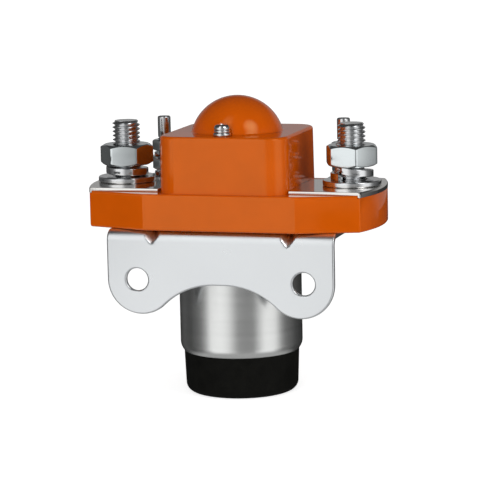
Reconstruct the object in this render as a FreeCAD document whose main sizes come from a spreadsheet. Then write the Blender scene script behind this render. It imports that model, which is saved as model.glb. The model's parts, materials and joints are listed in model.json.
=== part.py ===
import FreeCAD, Part
import math
import os
import re
import Sketcher

# A dc contactor standing on its end cap: a steel can with the coil and the
# plunger, a mounting bracket, a moulded base with two main studs and two
# coil studs, and a domed cover over the bridge contact.
# Millimetres. The origin is the centre of the end cap's underside, +Z runs
# up the can's axis, X runs through the main studs and -Y faces the bracket.

# Driving dimensions
SIZES = {
    # Can and end cap
    "canRadius": 22.2,
    "canWall": 1.2,
    "canEdge": 5.0,
    "canTop": 59.5,
    "capRadius": 20.9,
    "capFootRadius": 20.3,
    "capHeight": 15.2,
    "capWall": 2.0,
    "capEdge": 3.2,
    "capBossRadius": 5.0,
    "capScrewRadius": 2.0,
    "capScrewHeadRadius": 3.8,
    "capScrewHeadHeight": 2.6,
    "capScrewGrip": 4.0,
    # Mounting bracket
    "sheet": 2.0,
    "bendRadius": 2.0,
    "bracketLength": 83.7,
    "bracketBack": 14.0,
    "flangeHole": 8.6,
    "holeSpacing": 61.4,
    "holeRadius": 4.0,
    "holeHeight": 43.8,
    "lobeRadius": 12.5,
    "archHeight": 42.3,
    "archFlat": 4.0,
    "gussetSpacing": 50.0,
    "gussetWidth": 4.0,
    "gussetReach": 6.0,
    "gussetDent": 5.2,
    "gussetSpread": 4.5,
    "bracketScrewSpacing": 58.0,
    "bracketScrewFront": 14.0,
    "bracketScrewBack": 9.0,
    "bracketScrewRadius": 2.0,
    "bracketScrewLength": 9.0,
    "bracketScrewHead": 3.8,
    # Moulded base
    "baseLength": 107.6,
    "endBow": 4.0,
    "baseDepth": 52.0,
    "cornerCut": 6.2,
    "frontFlat": 56.0,
    "backFlat": 80.0,
    "baseHeight": 13.0,
    "baseEdge": 0.8,
    # Cover with its dome
    "coverLength": 47.5,
    "coverDepth": 47.5,
    "coverHeight": 20.2,
    "coverCorner": 7.5,
    "coverEdge": 1.1,
    "coverWall": 2.5,
    "coverDraft": 0.6,
    "domeRadius": 17.0,
    "domeDrop": 4.3,
    "domeBlend": 0.8,
    "coverScrewOffset": 18.6,
    "coverScrewRadius": 1.5,
    "coverScrewHeadRadius": 2.9,
    "coverScrewHeadHeight": 2.9,
    "coverScrewDepth": 8.0,
    "coverBossRadius": 3.4,
    "coverWasherRadius": 3.5,
    "coverWasherHeight": 1.3,
    # Terminal plates and contact tips
    "plateThickness": 1.2,
    "plateNotch": 13.0,
    "plateNotchLength": 19.5,
    "plateOverhang": 0.1,
    "lipThickness": 0.9,
    "lipDrop": 0.8,
    "tongueWidth": 16.0,
    "tongueEnd": 8.0,
    "tipOffset": 13.0,
    "tipRadius": 4.0,
    "tipHeight": 1.2,
    # Main studs, M10
    "studSpacing": 84.4,
    "studRadius": 5.0,
    "studPitch": 4.51,
    "studShoulder": 5.5,
    "studTop": 97.9,
    "studChamfer": 0.8,
    "studHeadFlats": 15.0,
    "studHeadHeight": 6.3,
    "studHeadSink": 0.3,
    "nutFlats": 17.0,
    "nutHeight": 7.5,
    "nutTurnLeft": 11.3,
    "nutTurnRight": 52.6,
    "washerRadius": 10.5,
    "washerHeight": 2.0,
    "springSection": 2.6,
    "springRiseLeft": 1.5,
    "springRiseRight": 2.4,
    "springTurnLeft": 75.0,
    "springTurnRight": 244.0,
    # Coil studs, M5
    "coilStudSpacing": 68.5,
    "coilStudOffset": 20.0,
    "coilStudRadius": 2.5,
    "coilStudPitch": 2.24,
    "coilStudShoulder": 3.0,
    "coilStudTop": 97.4,
    "coilHeadFlats": 8.0,
    "coilHeadHeight": 3.5,
    "coilHeadSink": 3.0,
    "coilNutFlats": 8.0,
    "coilNutHeight": 4.0,
    "coilSeatRadius": 6.0,
    "coilSeatHeight": 1.2,
    "coilWasherRadius": 5.0,
    "coilWasherHeight": 1.0,
    "coilSpringSection": 1.3,
    "coilSpringRise": 0.7,
    # Coil, core and pole plate
    "footHeight": 3.8,
    "poleThickness": 2.5,
    "bobbinTube": 1.4,
    "bobbinFlange": 1.5,
    "bobbinRadius": 20.6,
    "windingRadius": 19.4,
    "leadOffset": 7.0,
    "leadDepth": 17.4,
    "leadRadius": 0.7,
    "leadBend": 3.0,
    "leadStart": 1.2,
    "leadChannel": 2.7,
    "lugRadius": 4.4,
    "lugHeight": 0.8,
    # Plunger, shaft and return spring
    "plungerRadius": 8.0,
    "plungerLength": 28.0,
    "stroke": 4.5,
    "contactGap": 3.5,
    "springWell": 5.0,
    "plungerWell": 10.0,
    "coreWell": 8.0,
    "returnRadius": 4.0,
    "returnWire": 0.5,
    "returnTurns": 8.0,
    "shaftRadius": 2.5,
    "shaftNeck": 2.0,
    "shaftSocket": 12.0,
    "shaftTop": 98.5,
    "bushRadius": 4.5,
    "bushFlange": 6.5,
    "bushFlangeHeight": 1.0,
    # Bridge and contact spring
    "bridgeLength": 36.0,
    "bridgeWidth": 10.0,
    "bridgeThickness": 2.5,
    "carrierRadius": 6.0,
    "carrierFlange": 1.5,
    "sleeveRadius": 3.6,
    "sleeveHeight": 4.8,
    "insulatorRadius": 6.5,
    "insulatorHeight": 1.0,
    "contactSpringRadius": 4.6,
    "contactSpringWire": 0.45,
    "contactSpringTurns": 5.0,
    "contactSpringHeight": 9.5,
    "seatRadius": 5.5,
    "seatHeight": 0.8,
    "clipRadius": 3.6,
    "clipHeight": 0.8,
    "clipGroove": 1.5,
    # Fits and clearances
    "runningFit": 0.1,
    "closeFit": 0.03,
    "holeFit": 0.25,
    "stopGap": 0.3,
    "closedGap": 0.05,
}

# Sizes that follow from the driving ones
DERIVED = {
    "canBottom": "capHeight - canEdge + sqrt(canEdge^2 - (capRadius - canRadius + canEdge)^2)",
    "canFloor": "canBottom + canWall",
    "canBore": "canRadius - canWall",
    "footTop": "canFloor + footHeight",
    "poleBottom": "canTop - poleThickness",
    "baseBottom": "canTop + sheet",
    "baseTop": "baseBottom + baseHeight",
    "bracketFront": "baseDepth / 2",
    "halfShoulder": "baseLength / 2 - endBow",
    "halfShoulderDepth": "baseDepth / 2 - cornerCut",
    "endRadius": "(halfShoulderDepth^2 + endBow^2) / (2 * endBow)",
    "plateTop": "baseTop + plateThickness",
    "plateEnd": "halfShoulder + plateOverhang",
    "lipSeat": "plateEnd - lipThickness",
    "plateInner": "coverLength / 2 + stopGap",
    "notchEnd": "plateInner + plateNotchLength",
    "coverTop": "baseTop + coverHeight",
    "domeCentre": "coverTop - domeDrop",
    "washerTop": "plateTop + washerHeight",
    "springTopLeft": "washerTop + springSection + springRiseLeft",
    "springTopRight": "washerTop + springSection + springRiseRight",
    "studHeadBottom": "baseBottom + studHeadSink",
    "studHeadTop": "studHeadBottom + studHeadHeight",
    "coilHeadBottom": "baseBottom + coilHeadSink",
    "coilHeadTop": "coilHeadBottom + coilHeadHeight",
    "coilSeatTop": "baseTop + coilSeatHeight",
    "coilSpringHeight": "coilSpringSection + coilSpringRise",
    "coilNutBottom": "coilSeatTop + coilSpringHeight",
    "coilNutTop": "coilNutBottom + coilNutHeight",
    "coilWasherTop": "coilNutTop + coilWasherHeight",
    "coilUpperNut": "coilWasherTop + coilSpringHeight",
    "coilUpperTop": "coilUpperNut + coilNutHeight",
    "plungerTop": "baseBottom - stopGap",
    "plungerBottom": "plungerTop - plungerLength",
    "coreTop": "plungerBottom - stroke - closedGap",
    "bobbinBore": "plungerRadius + runningFit",
    "tubeRadius": "bobbinBore + bobbinTube",
    "fixedTipTop": "plateTop + tipHeight",
    "bridgeBottom": "fixedTipTop + contactGap + closedGap + tipHeight",
    "bridgeTop": "bridgeBottom + bridgeThickness",
    "shoulderTop": "bridgeBottom - carrierFlange",
    "insulatorTop": "bridgeTop + insulatorHeight",
    "seatBottom": "insulatorTop + contactSpringHeight",
    "seatTop": "seatBottom + seatHeight",
    "clipTop": "seatTop + clipHeight",
    "capScrewTop": "canFloor + capScrewGrip",
    "leadHeight": "leadTop - leadRadius",
    "leadTop": "coilHeadBottom - lugHeight",
    "lobeCentre": "bracketLength / 2 - lobeRadius",
    "blendCentre": "archFlat / 2",
    "blendSpan": "lobeCentre - blendCentre",
    "archDrop": "holeHeight - archHeight",
    "archBlend": "(blendSpan^2 + archDrop^2 - lobeRadius^2) / (2 * (lobeRadius - archDrop))",
    "blendFloor": "archHeight - archBlend",
    "lobeShare": "lobeRadius / (lobeRadius + archBlend)",
}

doc = FreeCAD.newDocument("Contactor")
sizes = doc.addObject("Spreadsheet::Sheet", "Sizes")
for row, (alias, value) in enumerate(SIZES.items(), 1):
    sizes.set(f"A{row}", alias)
    sizes.set(f"B{row}", str(value))
    sizes.setAlias(f"B{row}", alias)
doc.recompute()

SUB_PARTS = []


def formula(text):
    # Writes a formula of the names above in the terms of the sheet.
    def expand(match):
        word = match.group(0)
        if word in DERIVED:
            return "(" + formula(DERIVED[word]) + ")"
        if word in SIZES:
            return "Sizes." + word
        return word
    return re.sub(r"[A-Za-z]\w*", expand, str(text))


def value(text):
    result = sizes.evalExpression(formula(text))
    return float(getattr(result, "Value", result))


def bind(thing, **formulas):
    for prop, text in formulas.items():
        thing.setExpression(prop, formula(text))


def place(thing, x="0", y="0", z="0"):
    for axis, text in (("x", x), ("y", y), ("z", z)):
        thing.setExpression(f"Placement.Base.{axis}", formula(text))


def turn(thing, angle):
    thing.setExpression("Placement.Rotation.Angle", formula(angle))


def sub_part(thing, name):
    thing.Label = name
    SUB_PARTS.append(thing)
    return thing


def new_body(name):
    return doc.addObject("PartDesign::Body", name)


def new_sketch(body, plane, lift="0"):
    sketch = body.newObject("Sketcher::SketchObject", body.Name + "Sketch")
    support = [item for item in body.Origin.OriginFeatures if item.Role == plane][0]
    sketch.AttachmentSupport = [(support, "")]
    sketch.MapMode = "FlatFace"
    sketch.setExpression("AttachmentOffset.Base.z", formula(lift))
    return sketch


def pin_point(sketch, item, end, x, y):
    # Holds one end of an edge, or a circle's centre, at two formulas.
    for kind, text in (("DistanceX", x), ("DistanceY", y)):
        index = sketch.addConstraint(Sketcher.Constraint(kind, -1, 1, item, end, value(text)))
        sketch.setExpression(f"Constraints[{index}]", formula(text))


def pin_radius(sketch, item, radius):
    index = sketch.addConstraint(Sketcher.Constraint("Radius", item, value(radius)))
    sketch.setExpression(f"Constraints[{index}]", formula(radius))


def arc_between(start, end, radius, hollow):
    # The short arc from start to end, bulging to the right of that way,
    # or to the left of it where it is hollow.
    chord = end - start
    middle = start + chord * 0.5
    left = FreeCAD.Vector(-chord.y, chord.x, 0).normalize()
    height = math.sqrt(max(radius ** 2 - (chord.Length / 2) ** 2, 0))
    centre = middle + left * (-height if hollow else height)
    first, last = (end, start) if hollow else (start, end)
    angles = [math.atan2(p.y - centre.y, p.x - centre.x) for p in (first, last)]
    circle = Part.Circle(centre, FreeCAD.Vector(0, 0, 1), radius)
    return Part.ArcOfCircle(circle, angles[0], angles[1])


def outline(sketch, corners):
    # Corners run counter-clockwise as (x, y) where a straight edge follows,
    # (x, y, radius) where an arc follows and (x, y, radius, "hollow") where
    # that arc is hollow.
    points = [FreeCAD.Vector(value(c[0]), value(c[1]), 0) for c in corners]
    ends = []
    for number, corner in enumerate(corners):
        start = points[number]
        end = points[(number + 1) % len(points)]
        hollow = len(corner) == 4
        if len(corner) == 2:
            item = sketch.addGeometry(Part.LineSegment(start, end))
        else:
            item = sketch.addGeometry(arc_between(start, end, value(corner[2]), hollow))
            pin_radius(sketch, item, corner[2])
        ends.append((item, (2, 1) if hollow else (1, 2)))
    for number, corner in enumerate(corners):
        item, (first, last) = ends[number]
        after, (after_first, _) = ends[(number + 1) % len(ends)]
        sketch.addConstraint(Sketcher.Constraint("Coincident", item, last, after, after_first))
        pin_point(sketch, item, first, corner[0], corner[1])


def circle(sketch, x, y, radius):
    centre = FreeCAD.Vector(value(x), value(y), 0)
    ring = Part.Circle(centre, FreeCAD.Vector(0, 0, 1), value(radius))
    item = sketch.addGeometry(ring)
    pin_point(sketch, item, 3, x, y)
    pin_radius(sketch, item, radius)


def rectangle(sketch, left, bottom, right, top):
    outline(sketch, [(left, bottom), (right, bottom), (right, top), (left, top)])


def feature(body, kind, sketch, **settings):
    thing = body.newObject(f"PartDesign::{kind}", body.Name + kind)
    thing.Profile = sketch
    for prop, setting in settings.items():
        setattr(thing, prop, setting)
    return thing


def pad(body, sketch, length, **settings):
    thing = feature(body, "Pad", sketch, **settings)
    bind(thing, Length=length)
    return thing


def pocket(body, sketch, depth, **settings):
    # A pocket has to take material away, so its volume is compared.
    doc.recompute()
    before = body.Shape.Volume
    thing = feature(body, "Pocket", sketch, **settings)
    bind(thing, Length=depth)
    doc.recompute()
    if not body.Shape.Volume < before - 1e-6:
        raise RuntimeError("nothing cut by a pocket of " + body.Name)
    return thing


def revolve(body, sketch, kind="Revolution"):
    thing = feature(body, kind, sketch, ReferenceAxis=(sketch, ["V_Axis"]), Angle=360.0)
    return thing


def round_edges(body, radius, chosen, kind="Fillet"):
    doc.recompute()
    base = body.Tip
    names = [f"Edge{n}" for n, edge in enumerate(base.Shape.Edges, 1) if chosen(edge)]
    if not names:
        raise RuntimeError("no edge to round on " + body.Name)
    thing = body.newObject(f"PartDesign::{kind}", body.Name + kind)
    thing.Base = (base, names)
    bind(thing, **{"Radius" if kind == "Fillet" else "Size": radius})
    return thing


def turned(name, profile, x="0", y="0"):
    # A solid of revolution from (radius, height) corners.
    body = new_body(name)
    sketch = new_sketch(body, "XZ_Plane")
    outline(sketch, profile)
    revolve(body, sketch)
    place(body, x, y)
    return body


def ring_profile(inner, outer, bottom, top):
    return [(inner, bottom), (outer, bottom), (outer, top), (inner, top)]


def upright_edge(edge):
    return edge.BoundBox.ZLength > 0.1 and edge.BoundBox.XLength < 0.5 and edge.BoundBox.YLength < 0.5


def flat_at(height):
    level = value(height)

    def chosen(edge):
        box = edge.BoundBox
        return abs(box.ZMin - level) < 1e-4 and abs(box.ZMax - level) < 1e-4
    return chosen


def circle_at(height, radius):
    level, size = value(height), value(radius)

    def chosen(edge):
        if edge.Degenerated or not hasattr(edge.Curve, "Radius"):
            return False
        box = edge.BoundBox
        level_edge = abs(box.ZMin - level) < 1e-4 and abs(box.ZMax - level) < 1e-4
        return level_edge and abs(edge.Curve.Radius - size) < 1e-4
    return chosen


def cylinder(name, radius, height, x="0", y="0", z="0"):
    thing = doc.addObject("Part::Cylinder", name)
    bind(thing, Radius=radius, Height=height)
    place(thing, x, y, z)
    return thing


def fuse(name, pieces):
    thing = doc.addObject("Part::MultiFuse", name)
    thing.Shapes = pieces
    thing.Refine = True
    return thing


def cut(name, base, tool):
    thing = doc.addObject("Part::Cut", name)
    thing.Base = base
    thing.Tool = tool
    thing.Refine = True
    return thing


def group(name, pieces):
    thing = doc.addObject("Part::Compound", name)
    thing.Links = pieces
    return sub_part(thing, name)


def hex_corners(flats):
    # The corners of a hexagon whose corner points along +X.
    reach = f"{flats} / sqrt(3)"
    corners = []
    for number in range(6):
        angle = math.radians(60 * number)
        corners.append((f"{reach} * {math.cos(angle):.9f}", f"{reach} * {math.sin(angle):.9f}"))
    return corners


def nut(name, flats, height, bore, bottom):
    # A hexagon nut with both faces turned to a 30 degree chamfer.
    body = new_body(name)
    plan = new_sketch(body, "XY_Plane", bottom)
    outline(plan, hex_corners(flats))
    circle(plan, "0", "0", bore)
    pad(body, plan, height)
    doc.recompute()
    rim = f"{flats} * 0.475"
    far = f"{flats} * 0.62"
    drop = f"{flats} * 0.145 / sqrt(3)"
    top = f"{bottom} + {height}"
    bevel = new_sketch(body, "XZ_Plane")
    outline(bevel, [(rim, top), (far, f"{top} - {drop}"), (far, top)])
    revolve(body, bevel, "Groove")
    bevel = new_sketch(body, "XZ_Plane")
    outline(bevel, [(rim, bottom), (far, bottom), (far, f"{bottom} + {drop}")])
    revolve(body, bevel, "Groove")
    return body


def spring_washer(name, bore, section, rise, bottom):
    # One left-hand turn of square wire whose split ends stand apart by the rise.
    body = new_body(name)
    profile = new_sketch(body, "XZ_Plane")
    rectangle(profile, bore, bottom, f"{bore} + {section}", f"{bottom} + {section}")
    helix = body.newObject("PartDesign::AdditiveHelix", name + "Helix")
    helix.Profile = profile
    helix.ReferenceAxis = (profile, ["V_Axis"])
    helix.Mode = "height-turns-growth"
    helix.Turns = 0.97
    helix.LeftHanded = True
    bind(helix, Height=rise)
    return body


def spring(name, radius, wire, turns, bottom, height):
    # A wire wound between two seats. Its round section has eight flats.
    path = doc.addObject("Part::Helix", name + "Path")
    bind(path, Radius=radius, Height=f"{height} - 2 * {wire}")
    bind(path, Pitch=f"({height} - 2 * {wire}) / {turns}")
    place(path, z=f"{bottom} + {wire}")
    section = doc.addObject("Part::RegularPolygon", name + "Section")
    section.Polygon = 8
    bind(section, Circumradius=wire)
    section.Placement.Rotation = FreeCAD.Rotation(FreeCAD.Vector(1, 0, 0), 90)
    place(section, radius, "0", f"{bottom} + {wire}")
    doc.recompute()
    coil = doc.addObject("Part::Sweep", name)
    coil.Sections = [section]
    coil.Spine = (path, [f"Edge{n + 1}" for n in range(len(path.Shape.Edges))])
    coil.Solid = True
    coil.Frenet = True
    return sub_part(coil, name)


# Black moulded end cap, hollow, with a boss for the screw that holds it
def make_end_cap():
    body = turned("capBlank", [
        ("capScrewRadius + holeFit", "capScrewHeadHeight + 0.4"),
        ("capScrewHeadRadius + holeFit", "capScrewHeadHeight + 0.4"),
        ("capScrewHeadRadius + holeFit", "0"),
        ("capFootRadius", "0"),
        ("capRadius", "capHeight"),
        ("capRadius - capWall", "capHeight"),
        ("capFootRadius - capWall", "capWall + 0.4"),
        ("capBossRadius + 1", "capWall + 0.4"),
        ("capBossRadius", "canBottom"),
        ("capScrewRadius + holeFit", "canBottom"),
    ])
    round_edges(body, "capEdge", circle_at("0", "capFootRadius"))
    # The mouth is moulded to the can's rounded edge.
    seat = turned("capSeat", [
        ("0", "canBottom"),
        ("canRadius - canEdge", "canBottom", "canEdge"),
        ("canRadius", "canBottom + canEdge"),
        ("0", "canBottom + canEdge"),
    ])
    cap = cut("endCapSeated", body, seat)
    sub_part(cap, "end_cap")


def make_cap_screw():
    body = turned("cap_screw", [
        ("0", "0.4"),
        ("capScrewHeadRadius", "0.4"),
        ("capScrewHeadRadius", "capScrewHeadHeight + 0.4"),
        ("capScrewRadius", "capScrewHeadHeight + 0.4"),
        ("capScrewRadius", "capScrewTop"),
        ("0", "capScrewTop"),
    ])
    sub_part(body, "cap_screw")


# Drawn steel can with a rounded lower edge, open at the top
def make_can():
    body = turned("can", [
        ("capScrewRadius + holeFit", "canBottom"),
        ("canRadius - canEdge", "canBottom", "canEdge"),
        ("canRadius", "canBottom + canEdge"),
        ("canRadius", "canTop"),
        ("canBore", "canTop"),
        ("canBore", "canBottom + canEdge", "canEdge - canWall", "hollow"),
        ("canRadius - canEdge", "canFloor"),
        ("capScrewRadius + holeFit", "canFloor"),
    ])
    sub_part(body, "can")


# Fixed core with its wide foot and the well for the return spring
def make_core():
    body = turned("core", [
        ("capScrewRadius + closeFit", "canFloor"),
        ("canRadius - canEdge", "canFloor"),
        ("canRadius - canEdge", "footTop"),
        ("plungerRadius", "footTop"),
        ("plungerRadius", "coreTop"),
        ("springWell", "coreTop"),
        ("springWell", "coreTop - coreWell"),
        ("0", "coreTop - coreWell"),
        ("0", "capScrewTop + 1"),
        ("capScrewRadius + closeFit", "capScrewTop + 1"),
    ])
    sub_part(body, "core")


def make_pole_plate():
    body = new_body("pole_plate")
    plan = new_sketch(body, "XY_Plane", "poleBottom")
    circle(plan, "0", "0", "canBore - runningFit")
    circle(plan, "0", "0", "plungerRadius + holeFit")
    for side in (-1, 1):
        circle(plan, f"{side} * leadOffset", "leadDepth", "leadRadius + holeFit")
    pad(body, plan, "poleThickness")
    sub_part(body, "pole_plate")


def make_bobbin():
    body = turned("bobbin", [
        ("bobbinBore", "footTop"),
        ("bobbinRadius", "footTop"),
        ("bobbinRadius", "footTop + bobbinFlange"),
        ("tubeRadius", "footTop + bobbinFlange"),
        ("tubeRadius", "poleBottom - bobbinFlange"),
        ("bobbinRadius", "poleBottom - bobbinFlange"),
        ("bobbinRadius", "poleBottom"),
        ("bobbinBore", "poleBottom"),
    ])
    holes = new_sketch(body, "XY_Plane", "poleBottom")
    for side in (-1, 1):
        circle(holes, f"{side} * leadOffset", "leadDepth", "leadRadius + holeFit")
    pocket(body, holes, "bobbinFlange")
    sub_part(body, "bobbin")


def make_winding():
    profile = ring_profile("tubeRadius + closeFit", "windingRadius",
                           "footTop + bobbinFlange", "poleBottom - bobbinFlange - leadStart")
    sub_part(turned("winding", profile), "winding")


# Steel sheet bent at the front: flange above the can, leg with two lobes
def make_bracket():
    body = new_body("bracketBlank")
    plan = new_sketch(body, "XY_Plane", "canTop")
    half = "bracketLength / 2"
    rectangle(plan, f"-{half}", "-bracketFront", half, "bracketBack")
    circle(plan, "0", "0", "flangeHole")
    for side in (-1, 1):
        for depth in ("-bracketScrewFront", "bracketScrewBack"):
            circle(plan, f"{side} * bracketScrewSpacing / 2", depth, "bracketScrewRadius + holeFit")
    pad(body, plan, "sheet")
    leg = new_sketch(body, "XZ_Plane", "bracketFront - sheet")
    tangent_x = "lobeCentre - lobeShare * blendSpan"
    tangent_z = "holeHeight - lobeShare * (holeHeight - blendFloor)"
    low = "holeHeight - lobeRadius"
    outline(leg, [
        (f"-{half}", "baseBottom"),
        (f"-{half}", "holeHeight", "lobeRadius"),
        ("-lobeCentre", low, "lobeRadius"),
        (f"-({tangent_x})", tangent_z, "archBlend", "hollow"),
        ("-blendCentre", "archHeight"),
        ("blendCentre", "archHeight", "archBlend", "hollow"),
        (tangent_x, tangent_z, "lobeRadius"),
        ("lobeCentre", low, "lobeRadius"),
        (half, "holeHeight"),
        (half, "baseBottom"),
    ])
    for side in (-1, 1):
        circle(leg, f"{side} * holeSpacing / 2", "holeHeight", "holeRadius")
    pad(body, leg, "sheet")
    front, inner = value("-bracketFront"), value("sheet - bracketFront")
    top, under = value("baseBottom"), value("canTop")

    def along(edge, y, z):
        box = edge.BoundBox
        straight = box.XLength > 20 and box.YLength < 1e-4 and box.ZLength < 1e-4
        return straight and abs(box.YMin - y) < 1e-4 and abs(box.ZMin - z) < 1e-4
    round_edges(body, "bendRadius + sheet", lambda edge: along(edge, front, top))
    round_edges(body, "bendRadius", lambda edge: along(edge, inner, under))
    for side in (-1, 1):
        add_gusset(body, side)
    dents = [gusset_dent(side) for side in (-1, 1)]
    sub_part(cut("bracketPressed", body, fuse("gussetDents", dents)), "bracket")


# The web that a gusset leaves inside the bend
def add_gusset(body, side):
    centre = f"{side} * gussetSpacing / 2"
    web = new_sketch(body, "YZ_Plane", f"{centre} - gussetWidth / 2")
    inner = "sheet - bracketFront"
    outline(web, [
        (f"{inner} - sheet / 2", "canTop - gussetReach"),
        (inner, "canTop - gussetReach"),
        (f"{inner} + gussetReach", "canTop"),
        (f"{inner} + gussetReach", "canTop + sheet / 2"),
        (f"{inner} - sheet / 2 + bendRadius", "canTop + sheet / 2"),
        (f"{inner} - sheet / 2", "canTop + sheet / 2 - bendRadius"),
    ])
    pad(body, web, "gussetWidth")


# The V pressed into the bend from outside: a wedge with its ridge along the
# slope from the leg to the flange
def gusset_dent(side):
    dent = doc.addObject("Part::Wedge", "gussetDent")
    bind(dent, Xmin="-1.5 * gussetSpread", Xmax="1.5 * gussetSpread", X2min="0", X2max="0",
         Ymin="0", Ymax="1.5 * gussetDent * sqrt(0.5)", Zmin="-sheet", Z2min="-sheet",
         Zmax="gussetDent * sqrt(2) + sheet", Z2max="gussetDent * sqrt(2) + sheet")
    dent.Placement.Rotation = FreeCAD.Rotation(FreeCAD.Vector(1, 0, 0), -45)
    place(dent, f"{side} * gussetSpacing / 2", "-bracketFront - 0.75 * gussetDent",
          "baseBottom - 0.25 * gussetDent")
    return dent


def make_bracket_screws():
    screws = []
    for side in (-1, 1):
        for depth in ("-bracketScrewFront", "bracketScrewBack"):
            screw = turned("bracketScrew", [
                ("0", "canTop - 2"),
                ("bracketScrewHead", "canTop - 2"),
                ("bracketScrewHead", "canTop"),
                ("bracketScrewRadius", "canTop"),
                ("bracketScrewRadius", "canTop + bracketScrewLength"),
                ("0", "canTop + bracketScrewLength"),
            ], f"{side} * bracketScrewSpacing / 2", depth)
            screws.append(screw)
    group("bracket_screws", screws)


# An outline as deep as needed whose ends bow like the base's
def bowed_plan(sketch, reach):
    outline(sketch, [
        (f"-{reach}", "-baseDepth"),
        (reach, "-baseDepth"),
        (reach, "-halfShoulderDepth", "endRadius"),
        (reach, "halfShoulderDepth"),
        (reach, "baseDepth"),
        (f"-{reach}", "baseDepth"),
        (f"-{reach}", "halfShoulderDepth", "endRadius"),
        (f"-{reach}", "-halfShoulderDepth"),
    ])


# Moulded base: long plate with cut corners and bowed ends
def make_base():
    body = new_body("base")
    plan = new_sketch(body, "XY_Plane", "baseBottom")
    outline(plan, [
        ("-frontFlat / 2", "-baseDepth / 2"),
        ("frontFlat / 2", "-baseDepth / 2"),
        ("halfShoulder", "-halfShoulderDepth", "endRadius"),
        ("halfShoulder", "halfShoulderDepth"),
        ("backFlat / 2", "baseDepth / 2"),
        ("-backFlat / 2", "baseDepth / 2"),
        ("-halfShoulder", "halfShoulderDepth", "endRadius"),
        ("-halfShoulder", "-halfShoulderDepth"),
    ])
    pad(body, plan, "baseHeight")
    round_edges(body, "baseEdge", lambda edge: True)

    rebate = new_sketch(body, "XY_Plane", "baseTop")
    for side in (1, -1):
        outline(rebate, [
            (f"{side} * baseLength", f"{side} * (-baseDepth)"),
            (f"{side} * baseLength", f"{side} * baseDepth"),
            (f"{side} * (lipSeat - closeFit)", f"{side} * baseDepth"),
            (f"{side} * (lipSeat - closeFit)", f"{side} * halfShoulderDepth", "endRadius", "hollow"),
            (f"{side} * (lipSeat - closeFit)", f"{side} * (-halfShoulderDepth)"),
            (f"{side} * (lipSeat - closeFit)", f"{side} * (-baseDepth)"),
        ])
    pocket(body, rebate, "lipDrop + closeFit")

    bores = new_sketch(body, "XY_Plane", "baseTop")
    circle(bores, "0", "0", "bushRadius + closeFit")
    for side in (-1, 1):
        circle(bores, f"{side} * studSpacing / 2", "0", "studShoulder + closeFit")
        circle(bores, f"{side} * coilStudSpacing / 2", "coilStudOffset", "coilStudShoulder + closeFit")
    pocket(body, bores, "baseHeight")

    seat = new_sketch(body, "XY_Plane", "baseTop")
    circle(seat, "0", "0", "bushFlange + closeFit")
    pocket(body, seat, "bushFlangeHeight")

    tapped = new_sketch(body, "XY_Plane", "baseTop")
    for side in (-1, 1):
        circle(tapped, "0", f"{side} * coverScrewOffset", "coverScrewRadius + closeFit")
    pocket(body, tapped, "coverScrewDepth + 0.5")

    sockets = new_sketch(body, "XY_Plane", "baseBottom")
    for side in (-1, 1):
        corners = hex_corners("(studHeadFlats + 2 * closeFit)")
        outline(sockets, [(f"{x} + {side} * studSpacing / 2", y) for x, y in corners])
    pocket(body, sockets, "studHeadHeight + studHeadSink", Reversed=True)

    wells = new_sketch(body, "XY_Plane", "baseBottom")
    for side in (-1, 1):
        circle(wells, f"{side} * coilStudSpacing / 2", "coilStudOffset", "lugRadius + holeFit")
    pocket(body, wells, "coilHeadHeight + coilHeadSink", Reversed=True)

    channels = new_sketch(body, "XY_Plane", "baseBottom")
    half = "leadRadius + 2 * holeFit"
    for side in (-1, 1):
        inner = f"{side} * (leadOffset - {half})"
        outer = f"{side} * coilStudSpacing / 2"
        left, right = (outer, inner) if side < 0 else (inner, outer)
        rectangle(channels, left, f"leadDepth - ({half})", right, f"leadDepth + {half}")
    pocket(body, channels, "leadChannel", Reversed=True)

    threads = new_sketch(body, "XY_Plane", "baseBottom")
    for side in (-1, 1):
        for depth in ("-bracketScrewFront", "bracketScrewBack"):
            circle(threads, f"{side} * bracketScrewSpacing / 2", depth, "bracketScrewRadius + closeFit")
    pocket(body, threads, "bracketScrewLength - sheet + 0.5", Reversed=True)
    sub_part(body, "base")


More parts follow.
